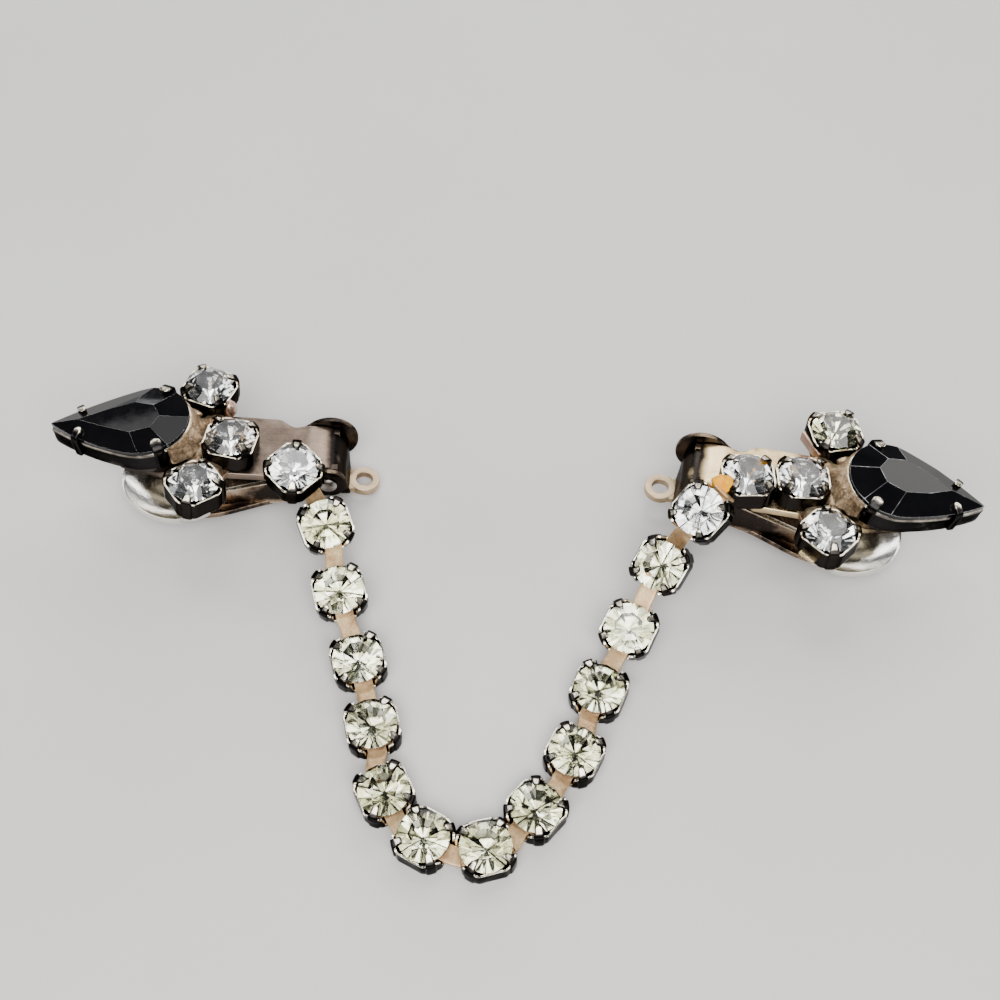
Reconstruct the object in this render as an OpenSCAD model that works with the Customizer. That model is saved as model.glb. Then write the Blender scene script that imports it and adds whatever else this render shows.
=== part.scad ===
// Sweater clip: two spring clips joined by a chain of set stones, lying on a table.
// Millimetres. X runs along the pair, Y away from the viewer, Z up.
// Each clip is drawn in its own frame: the eye of its tab is at the origin,
// x runs outboard along the plate, y across it, and the plate's top is z = 0.

/* [Round stones] */
// girdle diameter of the round stones
stone_d = 4.8; // [4.6:0.05:4.8]
// table diameter of the round stones
table_d = 2.6; // [2.2:0.1:3.0]
// width of a round setting across its flats
cup_w = 4.8; // [4.8:0.05:4.9]
// rounding diameter of a round setting
cup_d = 5.2; // [5.15:0.05:5.3]
// height of a round setting, base to the stone's table
cup_h = 3.0; // [2.95:0.05:3.1]
// height of the wall between the claws
wall_h = 1.75; // [1.6:0.05:1.8]
// thickness of the setting's sheet
wall_t = 0.3; // [0.25:0.05:0.3]
// width of a claw
claw_w = 0.75; // [0.6:0.05:0.9]

/* [Chain] */
// width of a link strap
link_w = 1.7; // [1.5:0.1:1.7]
// thickness of a link strap
link_t = 0.35; // [0.3:0.05:0.4]

/* [Pear stone] */
// length of the pear's setting
pear_l = 13.1; // [12.8:0.1:13.4]
// radius of the pear's blunt end
pear_r = 4.15; // [4.0:0.05:4.2]
// radius of the pear's long sides
pear_side_r = 25; // [22:1:30]
// height of the pear's setting below its girdle
pear_h = 2.1; // [2.0:0.1:2.3]

/* [Plate] */
// thickness of the stamped sheet
plate_t = 0.8; // [0.7:0.05:0.85]
// reach of the plate behind its middle
plate_back = 3.4; // [3.3:0.05:3.5]
// reach of the plate in front of its middle
plate_front = 3.8; // [3.6:0.05:3.9]
// reach of the waist and the hinge behind the middle
waist_back = 2.8; // [2.6:0.05:2.8]
// reach of the waist and the hinge in front of the middle
waist_front = 2.2; // [2.0:0.05:2.2]
// slope of the plate's outboard end, degrees
nose_slope = 10; // [8:1:11]
// radius of the hole in the tab
eye_r = 0.8; // [0.7:0.05:0.9]
// outer radius of the tab
tab_r = 1.5; // [1.4:0.05:1.6]
// height of the tab's top below the plate's top
tab_drop = 4.2; // [4.1:0.05:4.3]

/* [Lever] */
// thickness of an ear
ear_t = 0.5; // [0.4:0.05:0.5]
// radius of the back ear
ear_back_r = 2.6; // [2.5:0.05:2.7]
// radius of the front ear
ear_front_r = 1.75; // [1.6:0.05:1.8]
// radius of the hinge pin
pin_r = 0.55; // [0.5:0.01:0.57]
// thickness of the lever's floor
floor_t = 0.6; // [0.5:0.05:0.6]
// radius of the spoon's bowl
bowl_r = 9.0; // [8.5:0.1:9.5]

/* [Hidden] */
$fn = 48;
e = 0.02;
// the bounding box is centred on the origin by this shift
shift = [-1.17, 13.49, 0];

// clip placement: [x, y, z, roll, pitch, yaw]
left_pose = [-12.8, 2.35, 5.41, -9, 6.5, 0];
right_pose = [15.5, 0.3, 7.27, -7.5, 0, -11.5];

// round stone
sr = stone_d / 2;
girdle_z = cup_h - 0.8;

// positions in the clip's frame: [x, y, turn]
set_y = -1.1;
back_cup = [15.2, set_y + 6.3, 20];
mid_cup = [12.6, set_y, 10];
front_cup = [15.3, set_y - 5.6, 55];
left_end_cup = [6.5, set_y - 2.7, 45];
right_end_cup = [7.65, set_y - 0.8, 12];
end_tilt_left = 12;
end_tilt_right = 0;
// the lump of solder beside the right end setting
lump_at = [5.68, -3.67, 1.3];

// pear frame: blunt end at its origin, girdle at z = 0
pear_x = 16.2;
pear_y = -0.65;
pear_z = 3.75;
side_r = pear_side_r;
hx = pear_r;
scx = ((hx + pear_l) - (2 * pear_r * side_r - pear_r * pear_r) / (pear_l - hx)) / 2;
scy = sqrt(side_r * side_r - (scx - pear_l) * (scx - pear_l));
tan_x = hx + pear_r * (hx - scx) / (side_r - pear_r);
function side_y(x) = sqrt(side_r * side_r - (x - scx) * (x - scx)) - scy;

// hinge
pin_x = 3.4;
pin_z = -1.9;
// the two ears: [side, inner face, radius]
ears = [[1, waist_back + 0.15, ear_back_r], [-1, waist_front + 0.15, ear_front_r]];
bend_r = 1.7;

// spoon
bowl_x = 17.9;
bowl_y = -0.5;
bowl_z = -7.3;
bowl_hw = 5.3;

// chain: the centre of each stone's table, [x, y, z], from the left clip to the right
chain = [
  [-16.0, -6.0, 6.3],
  [-14.7, -11.8, 4.6],
  [-12.8, -18.0, 3.4],
  [-11.3, -24.0, 3.08],
  [-10.0, -30.0, 3.02],
  [-6.5, -34.0, 3.0],
  [-1.2, -34.9, 3.0],
  [3.1, -31.5, 3.01],
  [6.5, -26.5, 3.06],
  [8.8, -20.8, 3.26],
  [11.5, -15.6, 4.4],
  [14.1, -10.8, 7.0],
  [17.45, -7.3, 11.2]
];
left_start = [-19.15, -0.95, 9.6];
right_end = [23.0, -2.75, 12.8];
// where the soldered end straps meet the end settings
left_root = [-17.8, -2.7, 7.3];
right_root = [20.9, -4.4, 8.5];
n_cups = len(chain);

function before(i) = i == 0 ? left_start : chain[i - 1];
function after(i) = i == n_cups - 1 ? right_end : chain[i + 1];
function run(i) = after(i) - before(i);
function turn(i) = atan2(run(i)[1], run(i)[0]);
function slope(i) = atan2(run(i)[2], norm([run(i)[0], run(i)[1]]));
// the middle of a strap where it crosses the wall of cup i, at the distance r along the chain
function strap_at(i, r) =
  let (s = slope(i), h = cup_h - 0.65 - link_t / 2, d = r * cos(s) + h * sin(s))
  chain[i] + [d * cos(turn(i)), d * sin(turn(i)), r * sin(s) - h * cos(s)];

// the left clip is the mirror image of the right one, laid down at its own pose
module place_left() {
  p = left_pose;
  translate([p[0], p[1], p[2]] + shift)
    mirror([1, 0, 0]) rotate([p[3], -p[4], p[5]]) children();
}

module place_right() {
  p = right_pose;
  translate([p[0], p[1], p[2]] + shift)
    rotate([p[3], -p[4], p[5]]) children();
}

// a chain cup's frame: origin at the middle of its base, x along the chain
module at_chain(i) {
  translate(chain[i] + shift)
    rotate([0, -slope(i), turn(i)]) translate([0, 0, -cup_h]) children();
}

// a round setting's frame on a clip
module at_cup(c, tilt = 0) {
  translate([c[0], c[1], 0]) rotate([tilt, 0, 0]) rotate([0, 0, c[2]]) children();
}

// a cut round stone: table, sixteen-sided girdle and pointed back
module round_stone() {
  hull() {
    translate([0, 0, cup_h - e]) linear_extrude(e) circle(d = table_d, $fn = 8);
    translate([0, 0, girdle_z - 0.1])
      linear_extrude(0.15) rotate(11.25) circle(r = sr, $fn = 16);
    translate([0, 0, 0.5]) linear_extrude(e) circle(r = 0.12, $fn = 8);
  }
}

// plan of a round setting, shrunk by d on every side
module cup_plan(d = 0) {
  intersection() {
    square(cup_w - 2 * d, center = true);
    circle(r = cup_d / 2 - d);
  }
}

// one claw, in the plane of its own radius, folded over the stone's crown
module claw() {
  a = sr + 0.1;
  rotate([90, 0, 0])
    linear_extrude(claw_w, center = true)
      polygon([[a, 0.3], [a + 0.3, 0.3], [a + 0.3, girdle_z + 0.2], [a - 0.3, girdle_z + 0.7],
               [a - 0.5, girdle_z + 0.52], [a, girdle_z + 0.18]]);
}

// a round setting: floor, wall, four claws, and slots for the straps if it is on the chain
module round_cup(slots = false) {
  difference() {
    linear_extrude(wall_h) cup_plan();
    translate([0, 0, wall_t]) linear_extrude(wall_h) cup_plan(wall_t);
    if (slots)
      translate([-cup_w, -link_w / 2 - 0.3, 0.36]) cube([2 * cup_w, link_w + 0.6, 1.6]);
  }
  for (a = [45:90:315])
    rotate(a) claw();
}

// the end of a link strap: its head inside the setting, and the strap through the slot
module strap_end(extra = 0) {
  translate([1.45, -1.4, 0.65]) cube([0.3, 2.8, link_t]);
  translate([1.5, -link_w / 2, 0.65]) cube([0.95 + extra, link_w, link_t]);
}

// a straight strap between two points
module strap(a, b) {
  d = b - a;
  translate(a + shift) rotate([0, -asin(d[2] / norm(d)), atan2(d[1], d[0])])
    translate([0, -link_w / 2, -link_t / 2]) cube([norm(d), link_w, link_t]);
}

// pear outline, in plan, of a blunt radius r and its sides drawn in by the same amount
module pear_plan(d = 0) {
  translate([hx, 0]) circle(r = pear_r - d, $fn = 96);
  intersection() {
    translate([scx, -scy]) circle(r = side_r - d, $fn = 240);
    translate([scx, scy]) circle(r = side_r - d, $fn = 240);
    translate([tan_x, -pear_r]) square([pear_l, 2 * pear_r]);
  }
}

module at_pear() {
  translate([pear_x, pear_y, pear_z]) rotate([0, nose_slope, 0]) children();
}

// the pear stone: a flat pear table, a broad crown and a shallow back
module pear_stone() {
  at_pear() {
    hull() {
      translate([3.0, 0, 0.85]) linear_extrude(0.05)
        polygon([[-0.7, 1.1], [-0.7, -1.1], [0.5, -2.0], [2.3, -1.6], [6.4, 0], [2.3, 1.6], [0.5, 2.0]]);
      translate([0, 0, -0.1]) linear_extrude(0.2)
        polygon(concat([for (a = [105:15:255]) [hx, 0] + (pear_r - 0.12) * [cos(a), sin(a)]],
                       [for (x = [6:1.5:12]) [x, 0.12 - side_y(x)]],
                       [[pear_l - 0.25, 0]],
                       [for (x = [12:-1.5:6]) [x, side_y(x) - 0.12]]));
      translate([3.2, 0, -1.5]) linear_extrude(0.05)
        polygon([[-1.2, 0], [0, -1.4], [5.0, 0], [0, 1.4]]);
    }
  }
}

// a claw of the pear's setting, on the outline at (x, y) and folded inward along dir
module pear_claw(x, y, dir, w, lift) {
  translate([x, y, 0]) rotate([0, 0, dir]) rotate([90, 0, 0])
    linear_extrude(w, center = true)
      polygon([[-0.4, -pear_h + 0.3], [0.04, -pear_h + 0.3], [0.04, 0.2],
               [0.85, lift], [0.7, lift + 0.28], [-0.15, 0.5], [-0.4, 0.2]]);
}

// setting of the pear, on a block that stands on the plate's sloping end
module pear_setting() {
  at_pear() {
    translate([0, 0, -pear_h]) difference() {
      linear_extrude(pear_h - 0.35) pear_plan();
      translate([0, 0, 0.35]) linear_extrude(pear_h) pear_plan(0.3);
    }
    translate([0, 0, -pear_h - 1.9]) linear_extrude(2.0) intersection() {
      pear_plan(1.3);
      square([15, 10], center = true);
    }
    for (s = [-1, 1]) {
      pear_claw(hx - pear_r * sin(24), s * pear_r * cos(24), -s * 66, 1.0, 0.62);
      pear_claw(10.4, s * side_y(10.4), -s * 120, 0.7, 0.6);
    }
  }
}

// the stamped plate with its waist and sloping outboard end
module plate() {
  translate([0, 0, -plate_t]) linear_extrude(plate_t) difference() {
    union() {
      translate([pin_x, -waist_front]) square([4, waist_front + waist_back]);
      translate([6.6, -plate_front]) square([9.4, plate_front + plate_back]);
    }
    translate([6.6, waist_back + 2]) circle(r = 2);
    translate([6.6, -waist_front - 2]) circle(r = 2);
  }
  translate([15.6, 0, 0]) rotate([0, nose_slope, 0])
    translate([0, 0, -plate_t]) linear_extrude(plate_t)
      polygon([[-0.3, 0.05 - plate_front], [3.5, 0.05 - plate_front], [7.4, -2.2], [8.2, -1.2],
               [8.2, 0.4], [7.4, 1.4], [3.5, plate_back - 0.4], [-0.3, plate_back - 0.05]]);
}

// the rolled inboard end, its slanted wall and the tab with its eye
module bend() {
  intersection() {
    translate([0, waist_back, 0]) rotate([90, 0, 0]) linear_extrude(waist_front + waist_back) {
      translate([pin_x + e, -bend_r]) intersection() {
        difference() {
          circle(r = bend_r);
          circle(r = bend_r - plate_t);
        }
        translate([-bend_r, 0]) square(bend_r);
      }
      polygon([[pin_x - bend_r + e, -bend_r + e], [pin_x - bend_r + plate_t + e, -bend_r + e],
               [2.3, -tab_drop - 0.7], [1.0, -tab_drop - 0.7], [1.0, -tab_drop], [1.35, -tab_drop]]);
    }
    rotate([90, 0, 90]) linear_extrude(2 * pin_x, center = true)
      polygon([[-waist_front, 0], [waist_back, 0], [waist_back, -1.8], [1.45, -tab_drop], [1.45, -6],
               [-1.45, -6], [-1.45, -tab_drop], [-waist_front, -1.8]]);
  }
  translate([0, 0, -tab_drop - 0.7]) linear_extrude(0.7) difference() {
    union() {
      circle(r = tab_r);
      translate([0, -1.25]) square([1.4, 2.5]);
    }
    circle(r = eye_r);
  }
}

// two lugs inside the ears, drilled for the pin
module lugs() {
  for (y = [waist_back - 0.01, 0.59 - waist_front])
    translate([0, y, 0]) rotate([90, 0, 0])
      linear_extrude(0.6) difference() {
        union() {
          translate([pin_x, pin_z]) circle(r = 1.2);
          translate([pin_x - 0.8, pin_z]) square([2.0, -pin_z - 0.2]);
        }
        translate([pin_x, pin_z]) circle(r = pin_r + 0.05);
      }
}

// flat cross straps under the three round settings, and the solder between them
module cross_straps() {
  for (c = [back_cup, front_cup])
    translate([mid_cup[0], set_y, -0.45])
      rotate(atan2(c[1] - set_y, c[0] - mid_cup[0]))
        translate([0, -1.1, 0]) cube([6.3, 2.2, 0.6]);
  for (p = [[14.3, set_y + 2.9], [14.3, set_y - 2.7]])
    translate([p[0], p[1], -0.1]) cylinder(h = 1.1, r1 = 0.9, r2 = 0.55);
  for (y = [2.3, -2.2])
    translate([15.9, set_y + y, -0.1]) cylinder(h = 1.3, r1 = 0.9, r2 = 0.6);
}

// everything the two frames have in common
module frame_common() {
  plate();
  bend();
  lugs();
  cross_straps();
  pear_setting();
  at_cup(back_cup) round_cup();
  at_cup(mid_cup) round_cup();
  at_cup(front_cup) round_cup();
}

module left_frame() {
  color([0.60, 0.54, 0.50]) {
    place_left() {
      frame_common();
      at_cup(left_end_cup, end_tilt_left) round_cup();
      translate([left_end_cup[0], -2.8, -0.5]) cylinder(h = 0.8, r = 1.1);
    }
    // the strap soldered to the end setting, its free head in the first cup
    strap(left_root, strap_at(0, -2.2));
    at_chain(0) rotate(180) strap_end();
  }
}

module right_frame() {
  color([0.66, 0.60, 0.50]) {
    place_right() {
      frame_common();
      at_cup(right_end_cup, end_tilt_right) round_cup();
      translate(lump_at) sphere(r = 0.75);
      // what is left of the straps that once joined the round settings
      at_cup(front_cup) rotate(180) translate([2.2, -0.8, 0.65]) cube([0.85, 1.6, link_t]);
      at_cup(back_cup) rotate(195) translate([2.2, -1.5, 0.3]) cube([0.45, 3.0, 1.1]);
    }
    // the strap soldered to the end setting, its free head in the last cup
    strap(right_root, strap_at(n_cups - 1, 2.65));
    at_chain(n_cups - 1) strap_end(0.35);
  }
}

module lever() {
  // ears and tapering side walls
  for (m = ears)
    translate([0, m[0] * (m[1] + ear_t / 2), 0]) rotate([90, 0, 0])
      linear_extrude(ear_t, center = true) difference() {
        union() {
          translate([pin_x, pin_z]) circle(r = m[2]);
          polygon([[pin_x, pin_z - m[2] + e], [pin_x + 0.9, pin_z + m[2] - 0.6], [6.2, -1.15],
                   [13.4, -3.9], [14.4, -5.7], [8, -5.2], [pin_x + 0.8, pin_z - m[2] - 0.1]]);
        }
        translate([pin_x, pin_z]) circle(r = pin_r + 0.07);
      }
  // floor between the walls, flaring toward the spoon
  intersection() {
    rotate([90, 0, 0]) linear_extrude(12, center = true)
      polygon([[7.0, -4.65], [14.9, -5.95], [14.9, -5.95 - floor_t], [7.0, -4.65 - floor_t]]);
    translate([0, 0, -8]) linear_extrude(6) difference() {
      polygon([[5, -2.85], [7, -2.95], [13.5, -4.1], [14.9, -4.3],
               [14.9, 4.3], [13.5, 4.1], [8, 3.45], [5, 3.45]]);
      translate([7.0, 0.3]) circle(r = 1.7);
    }
  }
  // dished spoon
  intersection() {
    difference() {
      translate([bowl_x, bowl_y, bowl_z + bowl_r]) sphere(r = bowl_r, $fn = 96);
      translate([bowl_x, bowl_y, bowl_z + bowl_r]) sphere(r = bowl_r - floor_t, $fn = 96);
    }
    translate([0, 0, -8]) linear_extrude(4) {
      translate([bowl_x, bowl_y]) circle(r = bowl_hw);
      polygon([[14.3, -4.2], [16.1, -5.0], [bowl_x, bowl_y - bowl_hw], [bowl_x, bowl_y + bowl_hw],
               [16.1, 4.5], [14.3, 4.2]]);
    }
  }
}

// riveted pin, loose in the ears and the lugs
module hinge_pin() {
  ends = [for (m = ears) m[0] * (m[1] + ear_t + 0.25)];
  for (y = ends)
    translate([pin_x, y, pin_z]) rotate([90, 0, 0]) cylinder(r = 0.85, h = 0.3, center = true);
  translate([pin_x, ends[0], pin_z]) rotate([90, 0, 0]) cylinder(r = pin_r, h = ends[0] - ends[1]);
}

// leaf spring: an eye round the pin and a flat leaf under the plate
module leaf_spring() {
  translate([0, 1.9, 0]) rotate([90, 0, 0]) {
    linear_extrude(3.2) translate([pin_x, pin_z]) difference() {
      circle(r = pin_r + 0.3);
      circle(r = pin_r + 0.1);
    }
    translate([0, 0, 0.1]) linear_extrude(3.0)
      polygon([[pin_x, pin_z + 0.74], [pin_x, pin_z + 0.95], [8.5, -1.35],
               [13.2, -2.55], [13.1, -2.85], [8.4, -1.65]]);
  }
}

module left_lever() {
  color([0.62, 0.56, 0.48]) place_left() lever();
}

module right_lever() {
  color([0.62, 0.56, 0.48]) place_right() lever();
}

module left_hinge_pin() {
  color([0.45, 0.42, 0.40]) place_left() hinge_pin();
}

module right_hinge_pin() {
  color([0.45, 0.42, 0.40]) place_right() hinge_pin();
}

module left_spring() {
  color([0.72, 0.56, 0.34]) place_left() leaf_spring();
}

module right_spring() {
  color([0.72, 0.56, 0.34]) place_right() leaf_spring();
}

module left_pear_stone() {
  color([0.02, 0.02, 0.02]) place_left() pear_stone();
}

module right_pear_stone() {
  color([0.02, 0.02, 0.02]) place_right() pear_stone();
}

module clip_stone(c, tilt = 0) {
  color([0.86, 0.88, 0.84]) at_cup(c, tilt) round_stone();
}

module chain_cup(i) {
  color([0.20, 0.18, 0.17]) at_chain(i) round_cup(slots = true);
}

module chain_stone(i) {
  color([0.84, 0.86, 0.76]) at_chain(i) round_stone();
}

// loose straps, one between each pair of cups, their heads caught inside the slots
module chain_links() {
  color([0.78, 0.66, 0.56])
    for (i = [0:n_cups - 2]) {
      at_chain(i) strap_end();
      strap(strap_at(i, 2.2), strap_at(i + 1, -2.2));
      at_chain(i + 1) rotate(180) strap_end();
    }
}

left_frame();
left_lever();
left_hinge_pin();
left_spring();
left_pear_stone();
place_left() clip_stone(back_cup);  // left_back_stone
place_left() clip_stone(mid_cup);  // left_middle_stone
place_left() clip_stone(front_cup);  // left_front_stone
place_left() clip_stone(left_end_cup, end_tilt_left);  // left_end_stone
right_frame();
right_lever();
right_hinge_pin();
right_spring();
right_pear_stone();
place_right() clip_stone(back_cup);  // right_back_stone
place_right() clip_stone(mid_cup);  // right_middle_stone
place_right() clip_stone(front_cup);  // right_front_stone
place_right() clip_stone(right_end_cup, end_tilt_right);  // right_end_stone
chain_links();
chain_cup(0);  // chain_cup_01
chain_cup(1);  // chain_cup_02
chain_cup(2);  // chain_cup_03
chain_cup(3);  // chain_cup_04
chain_cup(4);  // chain_cup_05
chain_cup(5);  // chain_cup_06
chain_cup(6);  // chain_cup_07
chain_cup(7);  // chain_cup_08
chain_cup(8);  // chain_cup_09
chain_cup(9);  // chain_cup_10
chain_cup(10);  // chain_cup_11
chain_cup(11);  // chain_cup_12
chain_cup(12);  // chain_cup_13
chain_stone(0);  // chain_stone_01
chain_stone(1);  // chain_stone_02
chain_stone(2);  // chain_stone_03
chain_stone(3);  // chain_stone_04
chain_stone(4);  // chain_stone_05
chain_stone(5);  // chain_stone_06
chain_stone(6);  // chain_stone_07
chain_stone(7);  // chain_stone_08
chain_stone(8);  // chain_stone_09
chain_stone(9);  // chain_stone_10
chain_stone(10);  // chain_stone_11
chain_stone(11);  // chain_stone_12
chain_stone(12);  // chain_stone_13
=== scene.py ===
"""Looks of the sweater clip: metal, settings, cut stones, floor, lights and camera.

Lengths are in millimetres and angles in degrees until a mesh is made, and every piece is drawn in the frame
of what carries it. A value at each point of metal says how much rubbing it shows, from 0, dark, to 1,
bright;
in places the same value holds painted highlights, painted reflections and painted shade.
"""
import math
import random
from collections import namedtuple

import bmesh
import bpy
from mathutils import Matrix, Vector, noise


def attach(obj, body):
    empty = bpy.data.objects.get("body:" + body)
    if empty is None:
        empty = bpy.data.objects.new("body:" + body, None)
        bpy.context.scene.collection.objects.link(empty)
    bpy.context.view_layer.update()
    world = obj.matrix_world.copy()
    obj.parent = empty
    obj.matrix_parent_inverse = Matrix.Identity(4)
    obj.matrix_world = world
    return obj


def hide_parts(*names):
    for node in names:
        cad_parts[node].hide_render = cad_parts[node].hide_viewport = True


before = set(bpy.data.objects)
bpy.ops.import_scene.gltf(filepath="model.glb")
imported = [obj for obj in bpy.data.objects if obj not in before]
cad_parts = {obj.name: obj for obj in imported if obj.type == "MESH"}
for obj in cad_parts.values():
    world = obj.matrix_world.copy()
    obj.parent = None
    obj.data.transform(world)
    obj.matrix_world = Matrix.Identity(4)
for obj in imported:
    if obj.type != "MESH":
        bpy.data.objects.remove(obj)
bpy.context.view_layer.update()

noise.seed_set(7)


def rad(a):
    return math.radians(a)


def rot(axis, a):
    return Matrix.Rotation(rad(a), 4, axis)


def move(*p):
    return Matrix.Translation(Vector(p))


def mix(a, b, t):
    return a + (b - a) * t


def smooth(t):
    """A soft step from 0, up to t = 0, to 1, from t = 1."""
    t = max(0.0, min(1.0, t))
    return t * t * (3 - 2 * t)


def polar(r, a):
    return r * math.cos(rad(a)), r * math.sin(rad(a))


def arc(cx, cy, r, a0, a1, steps):
    """Points along an arc from the angle a0 to a1."""
    turns = [polar(r, mix(a0, a1, i / steps)) for i in range(steps + 1)]
    return [(cx + x, cy + y) for x, y in turns]


# Where the parts are

MM = 0.001
SHIFT = Vector((-1.17, 13.49, 0))  # from the origin of the places below to the middle of the object
ROOT = "clips_and_chain"
SET_Y = -1.1  # across a clip, where its middle setting stands
CROSS_X = 12.6  # along a clip, where its cross straps meet
PIN = (3.4, -1.9)  # the hinge pin, along a clip and up
TABLE_Z = 3.0  # the top of a round stone above the underside of its setting
STRAP_Z = 0.825  # the middle of a chain strap above the underside of its setting


def clip_frame(place, roll, pitch, yaw, mirrored):
    """A clip's frame: x outboard along its plate, y to its back and z up from the plate's top."""
    m = rot("Z", yaw) @ rot("Y", -pitch) @ rot("X", roll)
    if mirrored:
        m = Matrix.Scale(-1, 4, (1, 0, 0)) @ m
    return Matrix.Translation(Vector(place) + SHIFT) @ m


# the settings of both clips: x, y, turn about their own axis and lean to the front
CUPS = {
    "back": (15.2, SET_Y + 6.3, 20, 0),
    "middle": (CROSS_X, SET_Y, 10, 0),
    "front": (15.3, SET_Y - 5.6, 55, 0),
}
# What differs from clip to clip. end is the setting that holds the chain, leaf what pear_stone takes,
# strap_foot where the chain's last strap is soldered on, and strap_from how far from the middle of its cup
# that strap starts. The seeds choose small irregularities.
# On each clip the walls' value draws its lever's outer walls: partly their own tone, partly painted light,
# lighter on the left clip.
CLIPS = {
    "left": dict(
        m=clip_frame((-12.8, 2.35, 5.41), -9, 6.5, 0, mirrored=True), end=(6.5, SET_Y - 2.7, 45, 12),
        leaf=(-0.15, 10.3, 0.055), wall_tone_and_light=0.72, strap_foot=(-17.8, -2.7, 7.3), strap_from=2.2,
        cup_seed=20, end_seat=28, pear_seed=3, fillet_seed=4, strap_seed=40),
    "right": dict(
        m=clip_frame((15.5, 0.3, 7.27), -7.5, 0, -11.5, mirrored=False), end=(7.65, SET_Y - 0.8, 12, 0),
        leaf=(0.35, 9.5, 0.045), wall_tone_and_light=0.45, strap_foot=(20.9, -4.4, 8.5), strap_from=2.45,
        cup_seed=40, end_seat=43, pear_seed=8, fillet_seed=5, strap_seed=52),
}
# the tops of the chain's stones from the left clip to the right one, and where the chain leads at its ends
CHAIN = [
    (-16.0, -6.0, 6.3), (-14.7, -11.8, 4.6), (-12.8, -18.0, 3.4), (-11.3, -24.0, 3.08), (-10.0, -30.0, 3.02),
    (-6.5, -34.0, 3.0), (-1.2, -34.9, 3.0), (3.1, -31.5, 3.01), (6.5, -26.5, 3.06), (8.8, -20.8, 3.26),
    (11.5, -15.6, 4.4), (14.1, -10.8, 7.0), (17.45, -7.3, 11.2),
]
CHAIN_START = (-19.15, -0.95, 9.6)
CHAIN_END = (23.0, -2.75, 12.8)


def cup_frame(spot):
    x, y, turn, lean = spot
    return move(x, y, 0) @ rot("X", lean) @ rot("Z", turn)


def chain_frame(i):
    """The frame of a chain setting: x toward the next one, from the middle of its underside."""
    before = Vector(CHAIN[i - 1] if i else CHAIN_START)
    after = Vector(CHAIN[i + 1] if i + 1 < len(CHAIN) else CHAIN_END)
    d = after - before
    turn = math.degrees(math.atan2(d.y, d.x))
    slope = math.degrees(math.atan2(d.z, math.hypot(d.x, d.y)))
    top = Matrix.Translation(Vector(CHAIN[i]) + SHIFT) @ rot("Z", turn) @ rot("Y", -slope)
    return top @ move(0, 0, -TABLE_Z)


# Building meshes

class Shape:
    """Points, faces, a material index for each face and a value of rubbing and painted light for each point.
    """

    def __init__(self):
        self.points, self.faces, self.materials, self.wear_and_light = [], [], [], []

    def add(self, points, faces, wear_and_light=0.5):
        first = len(self.points)
        self.points += [Vector(p) for p in points]
        self.wear_and_light += wear_and_light if isinstance(wear_and_light, list) else [wear_and_light] * len(points)
        self.faces += [[first + i for i in face] for face in faces]
        self.materials += [0] * len(faces)
        return self

    def join(self, other, m=Matrix(), material=None):
        """Take in another shape, placed by m, with its own materials or with one for all."""
        first = len(self.points)
        self.points += [m @ p for p in other.points]
        self.wear_and_light += other.wear_and_light
        self.faces += [[first + i for i in face] for face in other.faces]
        self.materials += other.materials if material is None else [material] * len(other.faces)
        return self

    def rough(self, amount, size, seed):
        """Push each point a little by smooth noise, so nothing is machine perfect."""
        offset = Vector((seed * 7.3, seed * 3.1, seed * 5.7))
        for i, p in enumerate(self.points):
            self.points[i] = p + noise.noise_vector(p / size + offset) * amount
        return self


def loft(rings, caps=True, wear_and_light=0.5):
    """Skin over rings with the same number of points. The value of rubbing and painted light is one number,
    or one for each ring or point.
    """
    n = len(rings[0])
    faces = []
    for a in range(len(rings) - 1):
        for b in range(n):
            c = (b + 1) % n
            faces.append((a * n + b, a * n + c, (a + 1) * n + c, (a + 1) * n + b))
    if caps:
        faces.append(tuple(range(n))[::-1])
        faces.append(tuple((len(rings) - 1) * n + i for i in range(n)))
    if isinstance(wear_and_light, list) and len(wear_and_light) == len(rings):
        wear_and_light = [value for value in wear_and_light for _ in range(n)]
    return Shape().add([p for ring in rings for p in ring], faces, wear_and_light)


def inset(line, d):
    """The outline drawn in by d, mitred at its corners, where a sharp one is cut short."""
    shortest = 0.35
    out = []
    for i, corner in enumerate(line):
        p = Vector(corner)
        before = (p - Vector(line[i - 1])).normalized()
        after = (Vector(line[(i + 1) % len(line)]) - p).normalized()
        inward = Vector((-before.y, before.x))
        mitre = inward + Vector((-after.y, after.x))
        mitre = mitre / max(shortest, mitre.dot(inward)) if mitre.length > 1e-6 else inward
        out.append(p + mitre * d)
    return out


def slab(line, z0, z1, r=0.1, steps=3, wear_and_light=0.5, edge=0.25):
    """A flat plate with a counter-clockwise outline. edge is the extra wear of its rounded edges."""
    rings, wears = [], []
    turns = [90 * k / steps for k in range(steps + 1)]
    for z, inward, half in ((z0, 1, turns), (z1, -1, turns[::-1])):
        for a in half:
            level = z + inward * r * (1 - math.cos(rad(a)))
            rings.append([(p.x, p.y, level) for p in inset(line, r * (1 - math.sin(rad(a))))])
            wears.append(wear_and_light + edge * math.sin(rad(2 * a)))
    return loft(rings, wear_and_light=wears)


def section(w0, w1, t, r, cells):
    """A rounded strip section as (across, below the top) points, with points along its broad sides."""
    r = min(r, t * 0.48)
    steps = 3
    left, right = w0 + r, w1 - r
    top = [(mix(left, right, i / cells), 0) for i in range(cells + 1)]
    bottom = [(mix(right, left, i / cells), -t) for i in range(1, cells + 1)]
    return (top + arc(right, -r, r, 90, 0, steps)[1:] + arc(right, r - t, r, 0, -90, steps)
            + bottom + arc(left, r - t, r, -90, -180, steps)[1:] + arc(left, -r, r, 180, 90, steps)[:-1])


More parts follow.
